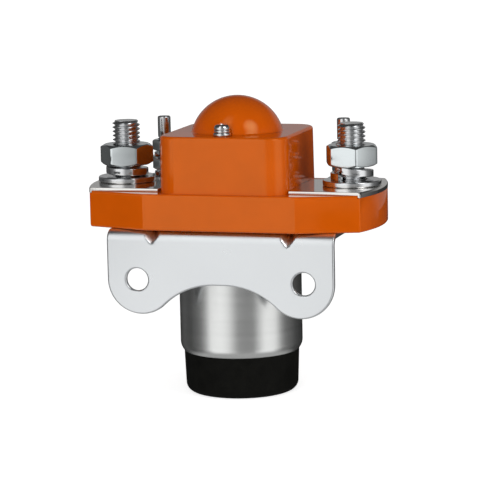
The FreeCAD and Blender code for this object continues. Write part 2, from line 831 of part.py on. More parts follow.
# Cover: drafted box with rounded corners, hollow, with a dome on top
def make_cover():
    shell = new_body("coverShell")
    plan = new_sketch(shell, "XY_Plane", "baseTop")
    rectangle(plan, "-coverLength / 2", "-coverDepth / 2", "coverLength / 2", "coverDepth / 2")
    walls = pad(shell, plan, "coverHeight")
    bind(walls, TaperAngle="-coverDraft")
    round_edges(shell, "coverCorner", upright_edge)
    round_edges(shell, "coverEdge", flat_at("coverTop"))

    dome = doc.addObject("Part::Sphere", "coverDome")
    bind(dome, Radius="domeRadius", Angle1="asin((domeDrop - coverWall) / domeRadius)")
    place(dome, z="domeCentre")
    outside = fuse("coverOutside", [shell, dome])
    doc.recompute()
    foot = [n for n, edge in enumerate(outside.Shape.Edges, 1)
            if circle_at("coverTop", "sqrt(domeRadius^2 - domeDrop^2)")(edge)]
    blend = doc.addObject("Part::Fillet", "coverBlend")
    blend.Base = outside
    blend.Edges = [(n, value("domeBlend"), value("domeBlend")) for n in foot]

    room = new_body("coverRoom")
    plan = new_sketch(room, "XY_Plane", "baseTop - 1")
    half_x = "(coverLength / 2 - coverWall)"
    half_y = "(coverDepth / 2 - coverWall)"
    rectangle(plan, f"-{half_x}", f"-{half_y}", half_x, half_y)
    pad(room, plan, "coverHeight - coverWall + 1")
    round_edges(room, "coverCorner - coverWall", upright_edge)
    vault = doc.addObject("Part::Sphere", "coverVault")
    bind(vault, Radius="domeRadius - coverWall")
    place(vault, z="domeCentre")
    hollow = cut("coverHollow", blend, fuse("coverInside", [room, vault]))

    bosses = [cylinder("coverBoss", "coverBossRadius", "coverHeight - coverWall / 2",
                       "0", f"{side} * coverScrewOffset", "baseTop") for side in (-1, 1)]
    bossed = fuse("coverBossed", [hollow] + bosses)
    cuts = []
    for side in (-1, 1):
        spot = f"{side} * coverScrewOffset"
        cuts.append(cylinder("coverBore", "coverScrewRadius + holeFit", "coverHeight + 1", "0", spot,
                             "baseTop - 0.5"))
        cuts.append(cylinder("coverSpot", "coverWasherRadius + holeFit", "domeRadius", "0", spot,
                             "coverTop"))
        slot = doc.addObject("Part::Box", "coverSlot")
        bind(slot, Length="coverWall * 3", Width="tongueWidth + 2 * holeFit",
             Height="plateThickness + closeFit")
        place(slot, f"{side} * coverLength / 2 - coverWall * 1.5", "-tongueWidth / 2 - holeFit",
              "baseTop")
        cuts.append(slot)
    cover = cut("coverFinished", bossed, fuse("coverCuts", cuts))
    sub_part(cover, "cover")


def make_cover_screws():
    screws = []
    washers = []
    for side in (-1, 1):
        spot = f"{side} * coverScrewOffset"
        head = "coverTop + coverWasherHeight"
        screw = turned("coverScrew", [
            ("0", "baseTop - coverScrewDepth"),
            ("coverScrewRadius", "baseTop - coverScrewDepth"),
            ("coverScrewRadius", head),
            ("coverScrewHeadRadius", head),
            ("coverScrewHeadRadius", f"{head} + coverScrewHeadHeight * 0.6",),
            ("coverScrewHeadRadius * 0.7", f"{head} + coverScrewHeadHeight"),
            ("0", f"{head} + coverScrewHeadHeight"),
        ], "0", spot)
        screws.append(screw)
        profile = ring_profile("coverScrewRadius + closeFit", "coverWasherRadius", "coverTop",
                               "coverTop + coverWasherHeight")
        washers.append(turned("coverWasher", profile, "0", spot))
    group("cover_screws", screws)
    group("cover_screw_washers", washers)


# Terminal plate: bent down over the base's end, with a tongue that carries
# the fixed contact tip under the cover
def make_terminal(side, hand):
    body = new_body("terminalBlank" + hand)
    plan = new_sketch(body, "XY_Plane", "baseTop - lipDrop")
    corners = [
        ("plateInner", "-halfShoulderDepth"),
        ("plateEnd", "-halfShoulderDepth", "endRadius"),
        ("plateEnd", "halfShoulderDepth"),
        ("notchEnd", "halfShoulderDepth"),
        ("notchEnd", "plateNotch"),
        ("plateInner", "plateNotch"),
        ("plateInner", "tongueWidth / 2"),
        ("tongueEnd", "tongueWidth / 2"),
        ("tongueEnd", "-tongueWidth / 2"),
        ("plateInner", "-tongueWidth / 2"),
    ]
    if side < 0:
        turned_over = [(f"-({c[0]})", c[1]) for c in reversed(corners)]
        # The bowed end follows the corner that now starts it.
        start = len(corners) - 1 - 2
        turned_over[start] = turned_over[start] + ("endRadius",)
        corners = turned_over
    outline(plan, corners)
    circle(plan, f"{side} * studSpacing / 2", "0", "studRadius + holeFit")
    pad(body, plan, "plateThickness + lipDrop")
    rim = value("baseTop + plateThickness")
    reach = value("plateEnd")

    def outer_rim(edge):
        box = edge.BoundBox
        flat = abs(box.ZMin - rim) < 1e-4 and abs(box.ZMax - rim) < 1e-4
        return flat and min(abs(box.XMin), abs(box.XMax)) > reach - 1e-3
    round_edges(body, "lipThickness * 0.9", outer_rim)
    block = new_body("terminalSeat" + hand)
    plan = new_sketch(block, "XY_Plane", "baseTop - lipDrop - 1")
    bowed_plan(plan, "lipSeat")
    pad(block, plan, "lipDrop + 1")
    plate = cut("terminalPlate" + hand, body, block)
    sub_part(plate, "terminal_plate_" + hand)


def make_fixed_tip(side, hand):
    body = turned("fixed_tip_" + hand, ring_profile("0", "tipRadius", "plateTop", "fixedTipTop"),
                  f"{side} * tipOffset")
    sub_part(body, body.Name)


def stud(name, kind, flats, head_bottom, head_top, nut_top, x, y):
    # A hexagon head and a shoulder that the base holds, then the thread: at
    # its pitch radius under the nuts, and at its crest where it stands free.
    body = new_body(name)
    plan = new_sketch(body, "XY_Plane", head_bottom)
    outline(plan, hex_corners(flats))
    pad(body, plan, f"{head_top} - {head_bottom}")
    crest, top = f"{kind}Radius", f"{kind}Top"
    chamfer = f"(studChamfer * {crest} / studRadius)"
    shank = new_sketch(body, "XZ_Plane")
    outline(shank, [
        ("0", head_bottom),
        (f"{kind}Shoulder", head_bottom),
        (f"{kind}Shoulder", "baseTop"),
        (f"{kind}Pitch", "baseTop"),
        (f"{kind}Pitch", nut_top),
        (crest, nut_top),
        (crest, f"{top} - {chamfer}"),
        (f"{crest} - {chamfer}", top),
        ("0", top),
    ])
    revolve(body, shank)
    place(body, x, y)
    return sub_part(body, name)


def make_main_terminal(side, hand):
    x = f"{side} * studSpacing / 2"
    own = hand.title()
    stud("main_stud_" + hand, "stud", "studHeadFlats", "studHeadBottom", "studHeadTop",
         f"springTop{own} + nutHeight", x, "0")
    profile = ring_profile("studRadius + holeFit", "washerRadius", "plateTop", "washerTop")
    sub_part(turned("main_washer_" + hand, profile, x), "main_washer_" + hand)
    ring = spring_washer("main_spring_washer_" + hand, "studRadius + runningFit", "springSection",
                         "springRise" + own, "washerTop")
    main_nut = nut("main_nut_" + hand, "nutFlats", "nutHeight", "studPitch + closeFit", "springTop" + own)
    for piece, angle in ((ring, "springTurn" + own), (main_nut, "nutTurn" + own)):
        place(piece, x)
        turn(piece, angle)
        sub_part(piece, piece.Name)


def make_coil_terminals():
    seats, springs, washers, lower_nuts, upper_nuts = [], [], [], [], []
    for side, hand in SIDES:
        x, y = f"{side} * coilStudSpacing / 2", "coilStudOffset"
        stud("coil_stud_" + hand, "coilStud", "coilHeadFlats", "coilHeadBottom", "coilHeadTop",
             "coilUpperTop", x, y)
        inner = "coilStudRadius + runningFit"
        seats.append(turned("coilSeat", ring_profile(inner, "coilSeatRadius", "baseTop", "coilSeatTop"),
                            x, y))
        profile = ring_profile(inner, "coilWasherRadius", "coilNutTop", "coilWasherTop")
        washers.append(turned("coilWasher", profile, x, y))
        for bottom in ("coilSeatTop", "coilWasherTop"):
            ring = spring_washer("coilSpring", inner, "coilSpringSection", "coilSpringRise", bottom)
            place(ring, x, y)
            springs.append(ring)
        for bottom, nuts in (("coilNutBottom", lower_nuts), ("coilUpperNut", upper_nuts)):
            piece = nut("coilNut", "coilNutFlats", "coilNutHeight", "coilStudPitch + closeFit", bottom)
            place(piece, x, y)
            nuts.append(piece)
    group("coil_seat_washers", seats)
    group("coil_spring_washers", springs)
    group("coil_washers", washers)
    group("coil_nuts_lower", lower_nuts)
    group("coil_nuts_upper", upper_nuts)


# Coil lead: up out of the winding, round a bend and along its channel to
# the lug under the coil stud's head
def make_lead(side, hand):
    start = value("poleBottom - bobbinFlange - leadStart")
    level, bend = value("leadHeight"), value("leadBend")
    x, y = side * value("leadOffset"), value("leadDepth")
    end = side * value("coilStudSpacing / 2")
    low = FreeCAD.Vector(x, y, start)
    below = FreeCAD.Vector(x, y, level - bend)
    corner = FreeCAD.Vector(x + side * bend * (1 - math.sqrt(0.5)), y,
                            level - bend * (1 - math.sqrt(0.5)))
    beyond = FreeCAD.Vector(x + side * bend, y, level)
    last = FreeCAD.Vector(end, y, level)
    path = Part.Wire([
        Part.LineSegment(low, below).toShape(),
        Part.Arc(below, corner, beyond).toShape(),
        Part.LineSegment(beyond, last).toShape(),
    ])
    section = Part.Wire([Part.Circle(low, FreeCAD.Vector(0, 0, 1), value("leadRadius")).toShape()])
    lead = doc.addObject("Part::Feature", "lead_" + hand)
    lead.Shape = path.makePipeShell([section], True, True)
    sub_part(lead, "lead_" + hand)


def make_lug(side, hand):
    body = turned("lug_" + hand, ring_profile("0", "lugRadius", "leadTop", "coilHeadBottom"),
                  f"{side} * coilStudSpacing / 2", "coilStudOffset")
    sub_part(body, body.Name)


def make_plunger():
    body = turned("plunger", [
        ("springWell", "plungerBottom"),
        ("plungerRadius", "plungerBottom"),
        ("plungerRadius", "plungerTop"),
        ("shaftRadius + closeFit", "plungerTop"),
        ("shaftRadius + closeFit", "plungerTop - shaftSocket"),
        ("0", "plungerTop - shaftSocket"),
        ("0", "plungerBottom + plungerWell"),
        ("springWell", "plungerBottom + plungerWell"),
    ])
    sub_part(body, "plunger")


def make_shaft():
    body = turned("shaft", [
        ("0", "plungerTop - shaftSocket"),
        ("shaftRadius", "plungerTop - shaftSocket"),
        ("shaftRadius", "shoulderTop"),
        ("shaftNeck", "shoulderTop"),
        ("shaftNeck", "seatTop"),
        ("clipGroove", "seatTop"),
        ("clipGroove", "clipTop"),
        ("shaftNeck", "clipTop"),
        ("shaftNeck", "shaftTop"),
        ("0", "shaftTop"),
    ])
    sub_part(body, "shaft")


def make_bush():
    body = turned("shaft_bush", [
        ("shaftRadius + runningFit", "baseBottom"),
        ("bushRadius", "baseBottom"),
        ("bushRadius", "baseTop - bushFlangeHeight"),
        ("bushFlange", "baseTop - bushFlangeHeight"),
        ("bushFlange", "baseTop"),
        ("shaftRadius + runningFit", "baseTop"),
    ])
    sub_part(body, "shaft_bush")


# Insulating carrier on the shaft's shoulder; the bridge slides on its sleeve
def make_carrier():
    body = turned("carrier", [
        ("shaftNeck + closeFit", "shoulderTop"),
        ("carrierRadius", "shoulderTop"),
        ("carrierRadius", "bridgeBottom"),
        ("sleeveRadius", "bridgeBottom"),
        ("sleeveRadius", "bridgeBottom + sleeveHeight"),
        ("shaftNeck + closeFit", "bridgeBottom + sleeveHeight"),
    ])
    sub_part(body, "carrier")


def make_bridge():
    body = new_body("bridge")
    plan = new_sketch(body, "XY_Plane", "bridgeBottom")
    rectangle(plan, "-bridgeLength / 2", "-bridgeWidth / 2", "bridgeLength / 2", "bridgeWidth / 2")
    circle(plan, "0", "0", "sleeveRadius + runningFit")
    pad(body, plan, "bridgeThickness")
    round_edges(body, "bridgeWidth / 4", lambda edge: upright_edge(edge) and not hasattr(edge.Curve, "Radius"))
    sub_part(body, "bridge")
    for side, hand in SIDES:
        profile = ring_profile("0", "tipRadius", "bridgeBottom - tipHeight", "bridgeBottom")
        sub_part(turned("moving_tip_" + hand, profile, f"{side} * tipOffset"), "moving_tip_" + hand)
    profile = ring_profile("sleeveRadius + runningFit", "insulatorRadius", "bridgeTop", "insulatorTop")
    sub_part(turned("insulating_washer", profile), "insulating_washer")


def make_spring_seat():
    profile = ring_profile("shaftNeck + closeFit", "seatRadius", "seatBottom", "seatTop")
    sub_part(turned("spring_seat", profile), "spring_seat")


# Open retaining clip in the shaft's groove
def make_clip():
    body = turned("retaining_clip", ring_profile("clipGroove + closeFit", "clipRadius", "seatTop", "clipTop"))
    mouth = new_sketch(body, "XY_Plane", "clipTop")
    rectangle(mouth, "0", "-clipGroove", "clipRadius + 1", "clipGroove")
    pocket(body, mouth, "clipHeight")
    sub_part(body, "retaining_clip")


SIDES = ((-1, "left"), (1, "right"))

make_end_cap()
make_cap_screw()
make_can()
make_core()
make_pole_plate()
make_bobbin()
make_winding()
make_bracket()
make_bracket_screws()
make_base()
make_cover()
make_cover_screws()
for side, hand in SIDES:
    make_terminal(side, hand)
    make_fixed_tip(side, hand)
    make_main_terminal(side, hand)
    make_lead(side, hand)
    make_lug(side, hand)
make_coil_terminals()
make_plunger()
make_shaft()
make_bush()
make_carrier()
make_bridge()
make_spring_seat()
make_clip()
spring("return_spring", "returnRadius", "returnWire", "returnTurns", "coreTop - coreWell",
       "(plungerBottom + plungerWell - coreTop + coreWell)")
spring("contact_spring", "contactSpringRadius", "contactSpringWire", "contactSpringTurns",
       "insulatorTop", "contactSpringHeight")
doc.recompute()

for thing in doc.Objects:
    if "Invalid" in thing.State or "Error" in thing.State:
        raise RuntimeError("not built: " + thing.Label)
for thing in SUB_PARTS:
    if thing.Shape.isNull() or not thing.Shape.isValid():
        raise RuntimeError("no valid solid: " + thing.Label)

os.makedirs("parts", exist_ok=True)
for thing in SUB_PARTS:
    thing.Shape.exportStep(f"parts/{thing.Label}.step")
    print(thing.Label, len(thing.Shape.Solids), round(thing.Shape.Volume, 1))
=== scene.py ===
import json
import math

import bmesh
import bpy
from mathutils import Matrix, Quaternion, Vector


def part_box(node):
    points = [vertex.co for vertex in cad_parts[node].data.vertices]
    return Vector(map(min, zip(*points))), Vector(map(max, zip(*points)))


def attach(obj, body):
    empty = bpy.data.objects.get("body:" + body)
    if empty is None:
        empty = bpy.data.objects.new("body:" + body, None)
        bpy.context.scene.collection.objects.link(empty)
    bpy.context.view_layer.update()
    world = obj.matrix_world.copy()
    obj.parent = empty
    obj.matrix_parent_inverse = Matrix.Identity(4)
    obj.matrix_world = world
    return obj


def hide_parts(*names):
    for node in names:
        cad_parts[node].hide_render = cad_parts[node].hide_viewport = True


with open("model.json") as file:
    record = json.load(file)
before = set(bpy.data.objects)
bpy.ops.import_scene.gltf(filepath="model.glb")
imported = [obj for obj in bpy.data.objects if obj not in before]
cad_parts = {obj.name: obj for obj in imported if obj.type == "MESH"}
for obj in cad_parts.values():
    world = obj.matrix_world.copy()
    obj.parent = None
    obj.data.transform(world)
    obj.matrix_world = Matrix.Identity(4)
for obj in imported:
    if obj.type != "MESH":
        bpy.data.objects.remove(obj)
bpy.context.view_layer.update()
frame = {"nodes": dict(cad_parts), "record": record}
scene = bpy.context.scene
mm = 0.001
print("frame loaded:", len(frame["nodes"]), "nodes")


def around(azimuth, elevation, distance=1.0):
    # A place seen from the object, its azimuth counted from the front toward +X
    azimuth, elevation = math.radians(azimuth), math.radians(elevation)
    return Vector((math.sin(azimuth) * math.cos(elevation), -math.cos(azimuth) * math.cos(elevation),
                   math.sin(elevation))) * distance


# Camera, fitted to the photograph's view
photoView = {
    "target": (3.82, 0.0, 51.18),
    "azimuth": 16.5,
    "elevation": 9.17,
    "roll": -1.18,
    "distance": 905.9,
    "lens": 180.4,
    "sensor": 36.0,
    "clip": (0.05, 50.0),
}


def makeCamera():
    back = around(photoView["azimuth"], photoView["elevation"])
    data = bpy.data.cameras.new("photoCamera")
    data.lens = photoView["lens"]
    data.sensor_width = photoView["sensor"]
    data.clip_start, data.clip_end = photoView["clip"]
    camera = bpy.data.objects.new("photoCamera", data)
    scene.collection.objects.link(camera)
    camera.location = (Vector(photoView["target"]) + back * photoView["distance"]) * mm
    camera.rotation_mode = "QUATERNION"
    rolled = Quaternion((0, 0, 1), math.radians(photoView["roll"]))
    camera.rotation_quaternion = (-back).to_track_quat("-Z", "Y") @ rolled
    scene.camera = camera


makeCamera()
scene.view_settings.view_transform = "Standard"


# Node helpers
def addNode(tree, kind, settings=None, **values):
    node = tree.nodes.new("ShaderNode" + kind)
    for key, setting in (settings or {}).items():
        setattr(node, key, setting)
    for key, setting in values.items():
        node.inputs[key.replace("_", " ")].default_value = setting
    return node


def objectPlace(tree, scale=(1, 1, 1)):
    # Object coordinates, stretched so that a pattern can run along an axis
    place = addNode(tree, "TexCoord")
    mapping = addNode(tree, "Mapping", Scale=scale)
    tree.links.new(place.outputs["Object"], mapping.inputs["Vector"])
    return mapping.outputs["Vector"]


def noiseAt(tree, scale, stretch=(1, 1, 1), detail=3.0):
    noise = addNode(tree, "TexNoise", Scale=scale, Detail=detail)
    tree.links.new(objectPlace(tree, stretch), noise.inputs["Vector"])
    return noise.outputs["Fac"]


def spread(tree, source, low, high, fromLow=0.3, fromHigh=0.7):
    # Maps a pattern's middle range to low and high
    reach = addNode(tree, "MapRange", {"clamp": True}, From_Min=fromLow, From_Max=fromHigh,
                    To_Min=low, To_Max=high)
    tree.links.new(source, reach.inputs["Value"])
    return reach.outputs["Result"]


# A Mix node's sockets by number, because those for colours share their names with others
mixSockets = {"factor": 0, "first": 6, "second": 7, "result": 2}


def blendColours(tree, factor, first, second):
    # first and second are plain colours or outputs of nodes
    mix = addNode(tree, "Mix", {"data_type": "RGBA"})
    tree.links.new(factor, mix.inputs[mixSockets["factor"]])
    for name, item in (("first", first), ("second", second)):
        socket = mix.inputs[mixSockets[name]]
        if isinstance(item, tuple):
            socket.default_value = (*item, 1)
        else:
            tree.links.new(item, socket)
    return mix.outputs[mixSockets["result"]]


def addBump(tree, shader, source, strength, distance):
    bump = addNode(tree, "Bump", Strength=strength, Distance=distance)
    tree.links.new(source, bump.inputs["Height"])
    tree.links.new(bump.outputs["Normal"], shader.inputs["Normal"])


def shade(colour, factor):
    return tuple(min(c * factor, 1.0) for c in colour)


# Finishes: one entry per material slot of the record.
# vary is how far the colour strays, grain the pattern's scale per metre, stretch its run along
# x, y and z, depth the bump's height in metres, and sheen the colour of what gloss reflects.
finishes = {
    "orange_plastic": {"colour": (0.590, 0.090, 0.0010), "vary": 0.04, "roughness": (0.06, 0.10),
                       "grain": 900, "bump": 0.03, "depth": 0.00003, "specular": 0.52,
                       "sheen": (1.0, 0.95, 0.45)},
    "black_plastic": {"colour": (0.0050, 0.0050, 0.0043), "vary": 0.25, "roughness": (0.55, 0.68),
                      "grain": 2600, "bump": 0.25, "depth": 0.00006, "specular": 0.06},
    "can_steel": {"metal": True, "colour": (0.80, 0.81, 0.80), "vary": 0.05, "roughness": (0.20, 0.27),
                  "grain": 2400, "stretch": (0.02, 0.02, 1), "bump": 0.10, "depth": 0.00003},
    "bracket_steel": {"metal": True, "colour": (0.84, 0.865, 0.88), "vary": 0.04,
                      "roughness": (0.26, 0.36), "grain": 420, "bump": 0.05, "depth": 0.00005},
    "screw_steel": {"metal": True, "colour": (0.78, 0.79, 0.80), "vary": 0.06, "roughness": (0.14, 0.22),
                    "grain": 1500, "bump": 0.05, "depth": 0.00002},
    "tinned_copper": {"metal": True, "colour": (0.90, 0.88, 0.85), "vary": 0.05,
                      "roughness": (0.06, 0.13), "grain": 130, "bump": 0.10, "depth": 0.0002},
    "silver_alloy": {"metal": True, "colour": (0.86, 0.85, 0.82), "vary": 0.06, "roughness": (0.2, 0.3),
                     "grain": 900, "bump": 0.05, "depth": 0.00003},
    "stud_steel": {"metal": True, "colour": (0.76, 0.77, 0.78), "vary": 0.06, "roughness": (0.12, 0.20),
                   "grain": 1400, "bump": 0.06, "depth": 0.00002},
    "nut_steel": {"metal": True, "colour": (0.75, 0.80, 0.81), "vary": 0.05, "roughness": (0.10, 0.17),
                  "grain": 700, "stretch": (1, 1, 3), "bump": 0.06, "depth": 0.00003},
    "washer_steel": {"metal": True, "colour": (0.78, 0.79, 0.80), "vary": 0.06,
                     "roughness": (0.10, 0.18), "grain": 1100, "bump": 0.06, "depth": 0.00002},
    "soft_iron": {"metal": True, "colour": (0.48, 0.48, 0.48), "vary": 0.10, "roughness": (0.3, 0.42),
                  "grain": 800, "stretch": (1, 1, 6), "bump": 0.1, "depth": 0.00004},
    "bobbin_plastic": {"colour": (0.70, 0.68, 0.60), "vary": 0.05, "roughness": (0.4, 0.5),
                       "grain": 900, "bump": 0.05, "depth": 0.00004},
    "enamelled_wire": {"metal": True, "colour": (0.55, 0.17, 0.06), "vary": 0.12,
                       "roughness": (0.25, 0.35), "grain": 500, "stretch": (0.05, 0.05, 8),
                       "bump": 0.5, "depth": 0.0003},
    "copper": {"metal": True, "colour": (0.80, 0.40, 0.24), "vary": 0.08, "roughness": (0.22, 0.32),
               "grain": 700, "bump": 0.06, "depth": 0.00003},
    "shaft_steel": {"metal": True, "colour": (0.68, 0.68, 0.69), "vary": 0.05, "roughness": (0.12, 0.2),
                    "grain": 900, "stretch": (1, 1, 5), "bump": 0.05, "depth": 0.00002},
    "bronze": {"metal": True, "colour": (0.62, 0.42, 0.18), "vary": 0.12, "roughness": (0.35, 0.5),
               "grain": 2200, "bump": 0.25, "depth": 0.00005},
    "spring_steel": {"metal": True, "colour": (0.50, 0.50, 0.51), "vary": 0.08, "roughness": (0.2, 0.3),
                     "grain": 1200, "bump": 0.05, "depth": 0.00002},
    "lead_sleeve": {"colour": (0.42, 0.014, 0.010), "vary": 0.08, "roughness": (0.45, 0.55),
                    "grain": 1500, "bump": 0.1, "depth": 0.00004},
}

# The broad pattern, which varies colour and roughness, beside the grain
broadPattern = {"coarser": 9, "detail": 2.0}


def makeFinish(slot, finish):
    material = bpy.data.materials.new(slot)
    material.use_nodes = True
    tree = material.node_tree
    shader = tree.nodes["Principled BSDF"]
    shader.inputs["Metallic"].default_value = 1.0 if finish.get("metal") else 0.0
    shader.inputs["Specular IOR Level"].default_value = finish.get("specular", 0.5)
    if "sheen" in finish:
        shader.inputs["Specular Tint"].default_value = (*finish["sheen"], 1)
    stretch = finish.get("stretch", (1, 1, 1))
    fine = noiseAt(tree, finish["grain"], stretch)
    broad = noiseAt(tree, finish["grain"] / broadPattern["coarser"], stretch, broadPattern["detail"])
    vary = finish["vary"]
    colour = blendColours(tree, spread(tree, broad, 0, 1),
                          shade(finish["colour"], 1 - vary), shade(finish["colour"], 1 + vary))
    tree.links.new(colour, shader.inputs["Base Color"])
    low, high = finish["roughness"]
    tree.links.new(spread(tree, broad, low, high), shader.inputs["Roughness"])
    addBump(tree, shader, fine, finish["bump"], finish["depth"])
    return material


materials = {slot: makeFinish(slot, finish) for slot, finish in finishes.items()}
print("finishes made:", len(materials))


# Shape helpers. Every size below is in millimetres until the piece is finished.
def everything(shape):
    return shape.verts[:] + shape.edges[:] + shape.faces[:]


def shift(shape, x=0.0, y=0.0, z=0.0):
    bmesh.ops.translate(shape, verts=shape.verts[:], vec=(x, y, z))


def turnBy(shape, angle):
    bmesh.ops.rotate(shape, verts=shape.verts[:], cent=(0, 0, 0),
                     matrix=Matrix.Rotation(math.radians(angle), 3, "Z"))


def weld(shape, distance=1e-3):
    bmesh.ops.remove_doubles(shape, verts=shape.verts[:], dist=distance)


def cutAt(shape, point, normal, below=False, above=False):
    # Cuts all edges and faces at a plane, and clears what lies below or above it
    bmesh.ops.bisect_plane(shape, geom=everything(shape), plane_co=point, plane_no=normal,
                           clear_inner=below, clear_outer=above)


def onlyVerts(items):
    return [item for item in items if isinstance(item, bmesh.types.BMVert)]


def closeEnds(shape):
    bmesh.ops.holes_fill(shape, edges=[edge for edge in shape.edges if edge.is_boundary], sides=0)


def spinAround(shape, angle=360.0, steps=96, rise=0.0):
    # Spins the wire round Z; rise is how far one whole spin climbs
    whole = angle == 360.0 and rise == 0.0
    bmesh.ops.spin(shape, geom=shape.verts[:] + shape.edges[:], cent=(0, 0, 0), axis=(0, 0, 1),
                   angle=math.radians(angle), steps=steps, dvec=(0, 0, rise / steps),
                   use_merge=whole, use_duplicate=False)
    weld(shape, 1e-4)


def profileWire(shape, corners, rounds=4):
    # A closed wire in the XZ plane from (radius, height) or (radius, height, rounding)
    verts = [shape.verts.new((corner[0], 0, corner[1])) for corner in corners]
    shape.faces.new(verts)
    for vert, corner in zip(verts, corners):
        if any(corner[2:]):
            bmesh.ops.bevel(shape, geom=[vert], affect="VERTICES", offset=corner[2], segments=rounds,
                            profile=0.5, material=-1)
    bmesh.ops.delete(shape, geom=shape.faces[:], context="FACES_ONLY")
    onAxis = [edge for edge in shape.edges if all(abs(vert.co.x) < 1e-6 for vert in edge.verts)]
    bmesh.ops.delete(shape, geom=onAxis, context="EDGES")


def turnedShape(corners, steps=96):
    shape = bmesh.new()
    profileWire(shape, corners)
    spinAround(shape, steps=steps)
    return shape


def easeEdges(shape, width, sharperThan, segments, keep=None, clamp=True):
    # Rounds the edges sharper than an angle, apart from those that keep names
    limit = math.radians(sharperThan)
    sharp = [edge for edge in shape.edges
             if len(edge.link_faces) == 2 and edge.calc_face_angle() > limit and not (keep and keep(edge))]
    bmesh.ops.bevel(shape, geom=sharp, affect="EDGES", offset=width, segments=segments, profile=0.5,
                    material=-1, clamp_overlap=clamp)


# Steps round a small turned piece and round a small nut
smallSteps = {"turned": 72, "nut": 96}


def washerShape(washer, bottom, top, steps=smallSteps["turned"]):
    # boreEase is for the bore's lower and upper edge, and 0 leaves an edge sharp
    bore, radius, ease = washer["bore"], washer["radius"], washer["ease"]
    lowEase, highEase = washer["boreEase"]
    return turnedShape([(bore, bottom, lowEase), (radius, bottom, ease), (radius, top, ease),
                        (bore, top, highEase)], steps)


# A hexagon's rim, where its chamfer starts, is a share of the width across flats, and corner is
# how much of the full corner is left
nutForm = {"rim": 0.475, "corner": 0.992, "slope": 30, "easeAbove": 38, "easeSegments": 2}


def hexReach(angle, flats, corner):
    # Distance from the axis to a hexagon's side, with its corners eased
    side = (angle + math.radians(30)) % math.radians(60) - math.radians(30)
    across = math.cos(math.radians(30) - abs(side))
    return min(flats / 2 / across, corner)


def nutShape(nut, steps=144):
    # Rings from the bore's lower edge round the outside to its upper edge
    flats, height, bore, mouth = (nut[key] for key in ("flats", "height", "bore", "mouth"))
    rim = flats * nutForm["rim"]
    corner = flats / math.sqrt(3) * nutForm["corner"]
    slope = math.tan(math.radians(nutForm["slope"]))
    rings = [
        (bore, mouth, False), (bore + mouth, 0, False), (rim, 0, False), (None, 0, True),
        (None, height, True), (rim, height, False), (bore + mouth, height, False),
        (bore, height - mouth, False),
    ]
    shape = bmesh.new()
    loops = []
    for radius, level, outer in rings:
        made = bmesh.ops.create_circle(shape, cap_ends=False, radius=1.0, segments=steps)
        for vert in made["verts"]:
            angle = math.atan2(vert.co.y, vert.co.x)
            reach = hexReach(angle, flats, corner) if outer else radius
            drop = (reach - rim) * slope if outer else 0
            vert.co.x = reach * math.cos(angle)
            vert.co.y = reach * math.sin(angle)
            vert.co.z = level + (drop if level == 0 else -drop)
        own = set(made["verts"])
        loops.append([edge for edge in shape.edges if set(edge.verts) <= own])
    for number, loop in enumerate(loops):
        bmesh.ops.bridge_loops(shape, edges=loop + loops[(number + 1) % len(loops)])
    bmesh.ops.recalc_face_normals(shape, faces=shape.faces[:])
    easeEdges(shape, nut["ease"], nutForm["easeAbove"], nutForm["easeSegments"])
    return shape


# Thread form: places along the pitch and the depth are shares of it, ease is in millimetres.
# Whole turns are added below and above, and cut off.
threadForm = {"depth": 0.59, "ease": 0.04, "rootEnd": 0.16, "easeStart": 0.49, "crestStart": 0.53,
              "crestEnd": 0.63, "easeEnd": 0.67, "turnsBelow": 2, "turnsAbove": 1}


def threadedShape(thread, steps=smallSteps["turned"]):
    # One pitch of thread spun into a helix, cut level at both ends and chamfered
    radius, pitch = thread["radius"], thread["pitch"]
    root = radius - threadForm["depth"] * pitch
    eased = radius - threadForm["ease"]
    bottom, top, chamfer = thread["bottom"], thread["top"], thread["chamfer"]
    turns = math.ceil((top - bottom) / pitch) + threadForm["turnsBelow"] + threadForm["turnsAbove"]
    shape = bmesh.new()
    section = [(root, 0), (root, threadForm["rootEnd"]), (eased, threadForm["easeStart"]),
               (radius, threadForm["crestStart"]), (radius, threadForm["crestEnd"]),
               (eased, threadForm["easeEnd"]), (root, 1)]
    verts = [shape.verts.new((reach, 0, bottom + (share - threadForm["turnsBelow"]) * pitch))
             for reach, share in section]
    for first, second in zip(verts, verts[1:]):
        shape.edges.new((first, second))
    spinAround(shape, steps=steps, rise=pitch)
    oneTurn = everything(shape)
    for number in range(1, turns):
        made = bmesh.ops.duplicate(shape, geom=oneTurn)["geom"]
        bmesh.ops.translate(shape, verts=onlyVerts(made), vec=(0, 0, number * pitch))
    weld(shape)
    cutAt(shape, (0, 0, bottom), (0, 0, 1), below=True)
    cutAt(shape, (0, 0, top - chamfer), (0, 0, 1))
    cutAt(shape, (0, 0, top), (0, 0, 1), above=True)
    for vert in shape.verts:
        reach = math.hypot(vert.co.x, vert.co.y)
        limit = radius - max(0.0, vert.co.z - (top - chamfer)) * thread["chamferSlope"]
        if reach > limit:
            vert.co.x *= limit / reach
            vert.co.y *= limit / reach
    closeEnds(shape)
    return shape


def springWasherShape(washer, steps=120):
    # A left-hand turn of square wire, open at the split; with sag above 1 it climbs late
    inner, section, rise, ease = (washer[key] for key in ("inner", "section", "rise", "ease"))
    shape = bmesh.new()
    profileWire(shape, [(inner, 0, ease), (inner + section, 0, ease),
                        (inner + section, section, ease), (inner, section, ease)])
    spinAround(shape, -360.0 * washer["turn"], steps, rise)
    for vert in shape.verts:
        # The tiny angle keeps the first section at the start of the turn
        angle = (1e-6 - math.atan2(vert.co.y, vert.co.x)) % math.tau
        share = angle / math.tau / washer["turn"]
        vert.co.z += rise * (share ** washer["sag"] - share)
    closeEnds(shape)
    turnBy(shape, washer["split"])
    return shape


# A cross recess: its floor rises by slope and narrows by taper, in faces that look up enough
crossForm = {"slope": 0.45, "taper": 0.86, "upward": 0.2}


